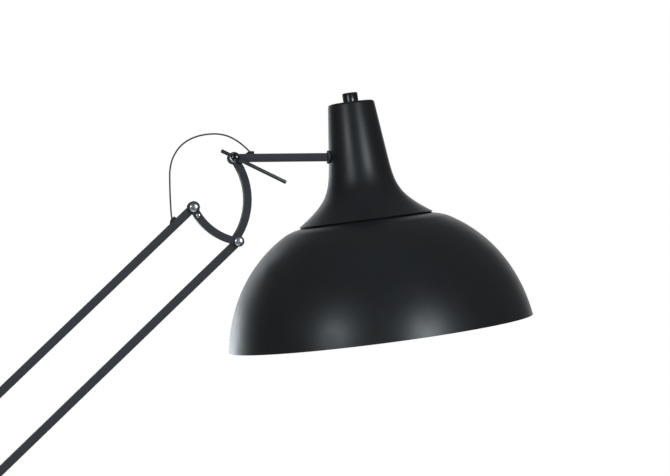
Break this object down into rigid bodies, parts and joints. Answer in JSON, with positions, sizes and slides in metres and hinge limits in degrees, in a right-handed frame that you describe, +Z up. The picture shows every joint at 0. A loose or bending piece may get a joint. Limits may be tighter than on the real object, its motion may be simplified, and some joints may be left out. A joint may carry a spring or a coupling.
{
  "type": "adjustable arm floor lamp",
  "caption": "Black floor lamp with a weighted round base, a parallelogram arm between curved brackets, clamp handles and a spun dome shade with a flared neck.",
  "frame": {"origin": "centre of the base's underside, on the floor under the post", "axes": "+Z up along the post; +X the way the arm reaches; the arm lies in the plane y = 0 and the clamp handles face -Y"},
  "size_m": [0.9341, 0.379, 1.5999],
  "materials": {
    "black_coat": "satin black powder coat",
    "black_gloss": "gloss black",
    "gloss_plastic": "gloss black moulding",
    "zinc": "bright zinc plate",
    "rubber": "matt black rubber",
    "cast_iron": "as cast",
    "moulding": "matt black moulding",
    "glass": "opal",
    "brass": "bright"
  },
  "bodies": {
    "base": {"base_pad": "rubber", "base_weight": "cast_iron", "base_cover": "black_coat", "cord_gland": "rubber", "post_fixing_bolt": "zinc", "post_foot_plug": "zinc", "post_tube": "black_coat", "post_top_bush": "moulding"},
    "swivel": {"swivel_hub": "black_coat", "hub_screw_lower": "zinc", "hub_screw_upper": "zinc", "hub_grommet": "rubber", "foot_cheek_front": "black_coat", "foot_cheek_back": "black_coat", "foot_core_short": "black_coat", "foot_core_long": "black_coat", "foot_tie_screw": "zinc", "foot_pivot_screw": "zinc", "foot_pivot_nut": "zinc", "foot_clamp_nut": "zinc", "lead_foot": "rubber"},
    "foot_handle": {"foot_clamp_screw": "black_gloss", "foot_tommy_bar": "black_coat", "foot_clamp_washer": "zinc"},
    "upper_arm": {"arm_upper_bar": "black_coat", "arm_grommet_foot": "rubber", "arm_grommet_head": "rubber", "lead_head_low": "rubber"},
    "lower_arm": {"arm_lower_bar": "black_coat"},
    "head_bracket": {"head_cheek_front": "black_coat", "head_cheek_back": "black_coat", "head_core_short": "black_coat", "head_core_long": "black_coat", "head_tie_screw": "zinc", "pivot_a_screw": "zinc", "pivot_a_washer": "black_coat", "pivot_a_nut": "zinc", "pivot_b_screw": "zinc", "pivot_b_washer": "black_coat", "pivot_b_nut": "zinc", "head_clamp_nut": "zinc", "lead_head_high": "rubber"},
    "head_handle": {"head_clamp_screw": "black_gloss", "head_tommy_bar": "black_coat", "head_clamp_washer": "zinc"},
    "head_arm": {"head_arm_tube": "black_coat", "head_arm_grommet": "rubber", "arm_nipple": "zinc", "nipple_nut": "zinc"},
    "shade": {"neck_washer": "black_coat", "neck": "black_coat", "dome": "black_coat", "dome_ring": "black_coat", "holder_strap": "zinc", "lampholder": "moulding", "bulb_cap": "brass", "bulb_glass": "glass", "switch_body": "moulding", "switch_nut": "zinc"},
    "dimmer_knob": {"switch_knob": "gloss_plastic"}
  },
  "joints": [
    {"name": "post_swivel", "type": "hinge", "parent": "base", "child": "swivel", "pos_m": [0, 0, 0.988], "axis": [0, 0, 1], "range_deg": [-170, 170]},
    {"name": "arm_raise", "type": "hinge", "parent": "swivel", "child": "upper_arm", "pos_m": [-0.0058, 0, 1.1232], "axis": [0, -1, 0], "range_deg": [-32, 15], "deforming": ["lead_foot"]},
    {"name": "lower_bar_pivot", "type": "hinge", "parent": "swivel", "child": "lower_arm", "pos_m": [0.0494, 0, 1.0819], "axis": [0, -1, 0], "range_deg": [-32, 15]},
    {"name": "head_level", "type": "hinge", "parent": "upper_arm", "child": "head_bracket", "pos_m": [0.34007, 0, 1.45603], "axis": [0, -1, 0], "range_deg": [-15, 32], "deforming": ["lead_head_low"]},
    {"name": "head_tilt", "type": "hinge", "parent": "head_bracket", "child": "head_arm", "pos_m": [0.38947, 0, 1.51663], "axis": [0, -1, 0], "range_deg": [-12, 60], "deforming": ["lead_head_high"]},
    {"name": "shade_turn", "type": "hinge", "parent": "head_arm", "child": "shade", "pos_m": [0.50604, 0, 1.51887], "axis": [0.9998, 0, 0.0192], "range_deg": [-90, 90]},
    {"name": "foot_clamp", "type": "hinge", "parent": "swivel", "child": "foot_handle", "pos_m": [-0.0058, 0, 1.1232], "axis": [0, -1, 0], "range_deg": [0, 180]},
    {"name": "head_clamp", "type": "hinge", "parent": "head_bracket", "child": "head_handle", "pos_m": [0.38947, 0, 1.51663], "axis": [0, -1, 0], "range_deg": [0, 180]},
    {"name": "dimmer_turn", "type": "hinge", "parent": "shade", "child": "dimmer_knob", "pos_m": [0.53492, 0, 1.59203], "axis": [-0.1305, 0, 0.9914], "range_deg": [-270, 0]}
  ],
  "couplings": [
    {"joint": "lower_bar_pivot", "follows": "arm_raise", "ratio": 1},
    {"joint": "head_level", "follows": "arm_raise", "ratio": -1}
  ]
}
